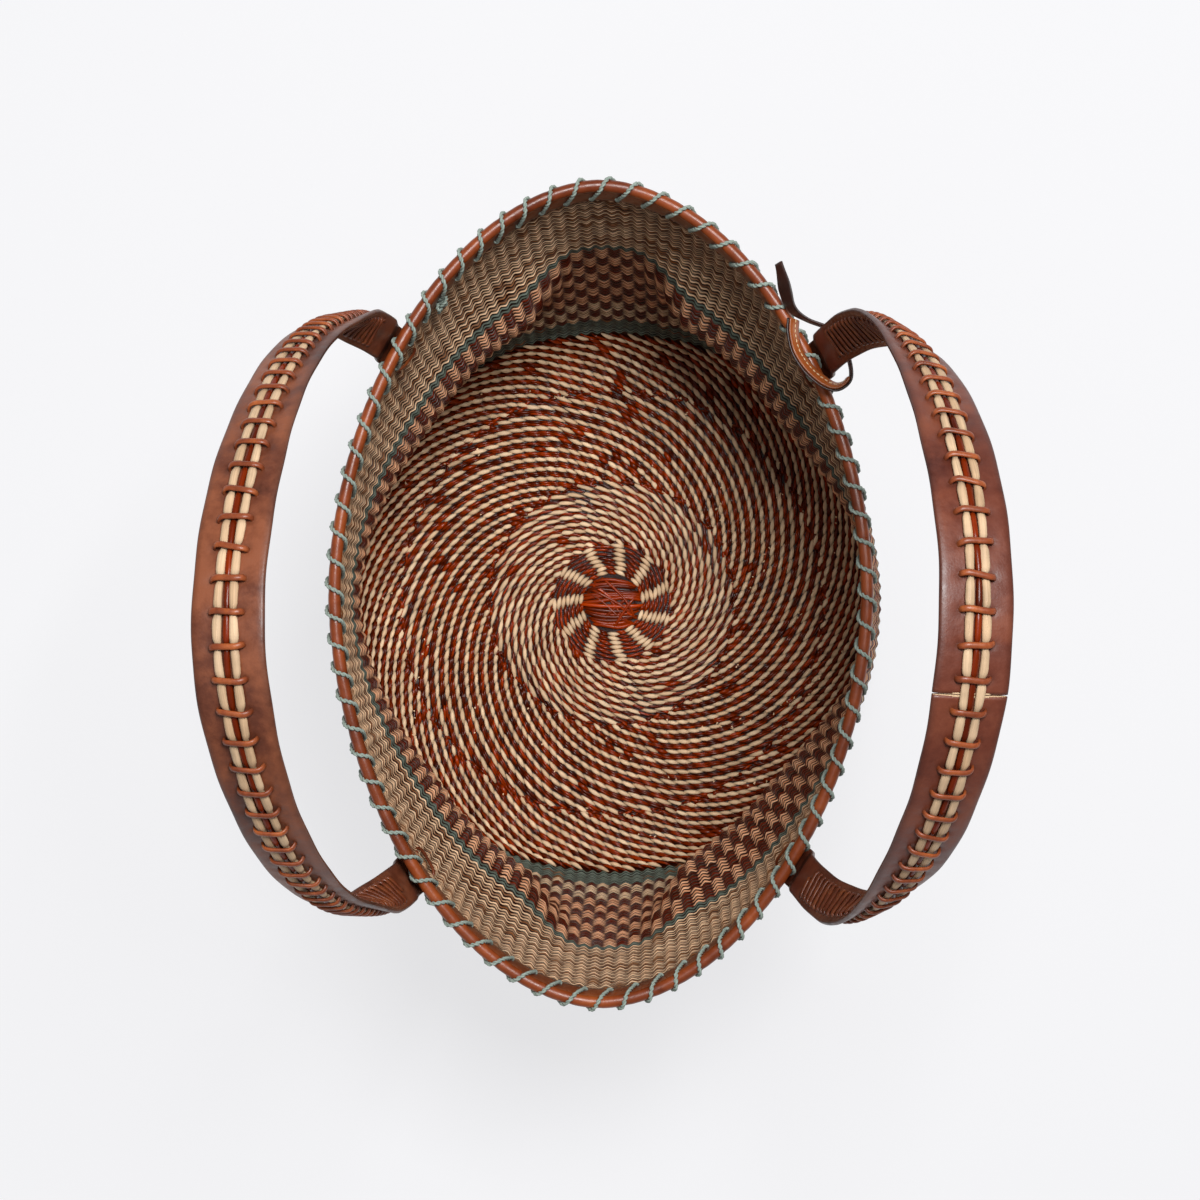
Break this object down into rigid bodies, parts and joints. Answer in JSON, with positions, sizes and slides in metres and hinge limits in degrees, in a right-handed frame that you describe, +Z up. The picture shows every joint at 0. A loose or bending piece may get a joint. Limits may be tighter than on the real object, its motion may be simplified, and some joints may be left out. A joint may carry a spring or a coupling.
{
  "type": "bolga basket",
  "caption": "Round-based woven elephant grass basket with an oval mouth, a leather-bound lashed rim and two upright laced leather strap handles",
  "frame": {"origin": "the centre of the flat underside of the base, on the surface that the basket stands on", "axes": "+Z up, +Y along the long way of the oval mouth, +X across it towards the handle with the stitched loop"},
  "size_m": [0.3501, 0.4355, 0.5102],
  "materials": {
    "rust_straw": "satin dyed grass",
    "cream_straw": "satin natural grass",
    "pink_straw": "satin dyed grass",
    "grey_straw": "satin dyed grass",
    "grey_cord": "matte twisted cord",
    "rim_leather": "semi-gloss",
    "left_strap_leather": "worn satin",
    "right_strap_leather": "satin",
    "lace_leather": "satin",
    "tan_leather": "satin",
    "dark_leather": "satin"
  },
  "bodies": {
    "basket": {"base_knot": "rust_straw", "base_weave": "rust_straw", "lower_grey_band": "grey_straw", "check_band": "pink_straw", "upper_grey_line": "grey_straw", "upper_wall": "cream_straw", "rim_core": "cream_straw", "rim_leather": "rim_leather", "rim_lashing": "grey_cord", "lashing_knot": "grey_cord", "left_handle_back_tab": "left_strap_leather", "left_handle_back_tab_lace": "lace_leather", "left_handle_back_bend": "left_strap_leather", "left_handle_front_tab": "left_strap_leather", "left_handle_front_tab_lace": "lace_leather", "left_handle_front_bend": "left_strap_leather", "right_handle_back_tab": "right_strap_leather", "right_handle_back_tab_lace": "lace_leather", "right_handle_back_bend": "right_strap_leather", "right_handle_front_tab": "right_strap_leather", "right_handle_front_tab_lace": "lace_leather", "right_handle_front_bend": "right_strap_leather", "loop_face": "tan_leather", "loop_lining": "dark_leather"},
    "left_handle": {"left_handle_strap": "left_strap_leather", "left_handle_cream_cord_outer": "cream_straw", "left_handle_rust_cord": "rust_straw", "left_handle_cream_cord_inner": "cream_straw", "left_handle_lace": "lace_leather"},
    "right_handle": {"right_handle_strap_long": "right_strap_leather", "right_handle_strap_short": "right_strap_leather", "right_handle_cream_cord_outer": "cream_straw", "right_handle_rust_cord": "rust_straw", "right_handle_cream_cord_inner": "cream_straw", "right_handle_lace": "lace_leather"}
  },
  "joints": [
    {"name": "left_handle_fold", "type": "hinge", "parent": "basket", "child": "left_handle", "pos_m": [-0.11341, -0.00359, 0.25684], "axis": [-0.0356, 0.9993, 0.006], "range_deg": [-75, 32], "deforming": ["left_handle_back_bend", "left_handle_front_bend"]},
    {"name": "right_handle_fold", "type": "hinge", "parent": "basket", "child": "right_handle", "pos_m": [0.10279, -0.00535, 0.25789], "axis": [0.042, 0.9991, 0.0077], "range_deg": [-32, 75], "deforming": ["right_handle_back_bend", "right_handle_front_bend", "loop_face", "loop_lining"]}
  ]
}
